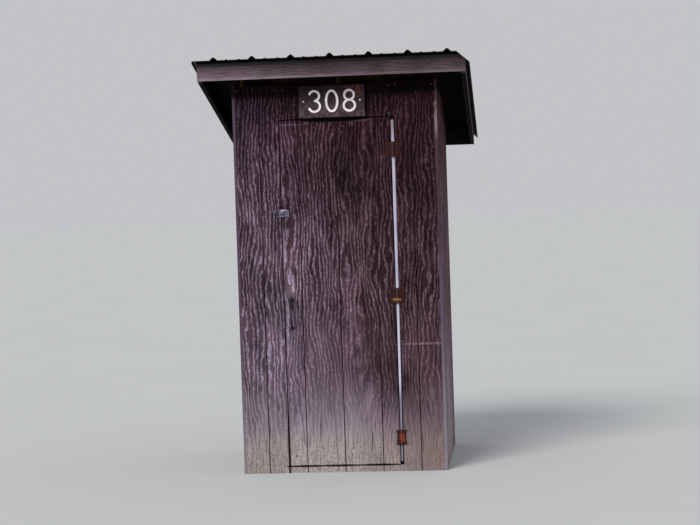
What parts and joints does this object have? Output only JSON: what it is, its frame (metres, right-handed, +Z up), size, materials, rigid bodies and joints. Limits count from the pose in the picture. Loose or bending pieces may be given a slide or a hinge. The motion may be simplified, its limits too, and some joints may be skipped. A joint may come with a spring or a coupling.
{
  "type": "outhouse",
  "caption": "Small wooden outhouse: grooved plywood walls on a stud frame, a single-pitch ribbed metal roof with fascias, and a braced door on hinges",
  "frame": {"origin": "centre of the building's outer size at ground level", "axes": "+X to the right seen from the front, +Y from the door to the back, +Z up"},
  "size_m": [1.6306, 1.559, 2.4834],
  "materials": {
    "painted_plywood": "worn brown paint on rough-sawn grooved plywood",
    "painted_board": "worn brown paint",
    "dark_board": "dark brown paint, worn",
    "ribbed_steel": "weathered dark brown paint",
    "rusted_steel": "rusted",
    "black_iron": "weathered black",
    "zinc_plated_steel": "weathered zinc plating",
    "pale_strip": "bare, weathered",
    "deck_plywood": "bare, darkened",
    "framing_lumber": "bare, weathered"
  },
  "bodies": {
    "hut": {"door_header": "framing_lumber", "door_stop_side": "framing_lumber", "door_stop_top": "framing_lumber", "fascia_front": "painted_board", "fascia_rear": "painted_board", "floor_planks": "framing_lumber", "front_corner_studs": "framing_lumber", "front_siding_left": "painted_plywood", "front_siding_over_door": "painted_plywood", "front_siding_right_lower": "painted_plywood", "front_siding_right_upper": "painted_plywood", "front_siding_sill": "painted_plywood", "hasp_staple": "zinc_plated_steel", "hinge_bottom_frame_leaf": "rusted_steel", "hinge_gap_strip": "pale_strip", "hinge_middle_frame_leaf": "rusted_steel", "hinge_top_frame_leaf": "rusted_steel", "jamb_stud_hinge": "framing_lumber", "jamb_stud_latch": "framing_lumber", "number_board": "dark_board", "rafters": "framing_lumber", "rake_boards": "painted_board", "rear_siding": "painted_plywood", "rear_studs": "framing_lumber", "roof_deck_left": "deck_plywood", "roof_deck_right": "deck_plywood", "roofing_sheet_left": "ribbed_steel", "roofing_sheet_right": "ribbed_steel", "side_siding_left": "painted_plywood", "side_siding_right": "painted_plywood", "side_sills": "framing_lumber", "side_studs": "framing_lumber", "sill_front": "framing_lumber", "sill_rear": "framing_lumber", "top_plate_front": "framing_lumber", "top_plate_rear": "framing_lumber"},
    "door": {"door_panel": "painted_plywood", "door_stile": "framing_lumber", "door_rails": "framing_lumber", "door_braces": "framing_lumber", "door_handle": "black_iron", "hasp_strap": "zinc_plated_steel", "hinge_bottom_door_leaf": "rusted_steel", "hinge_middle_door_leaf": "rusted_steel", "hinge_top_door_leaf": "rusted_steel"}
  },
  "joints": [
    {"name": "door_swing", "type": "hinge", "parent": "hut", "child": "door", "pos_m": [0.3405, -0.615, 1.045], "axis": [0, 0, 1], "range_deg": [0, 170]}
  ]
}
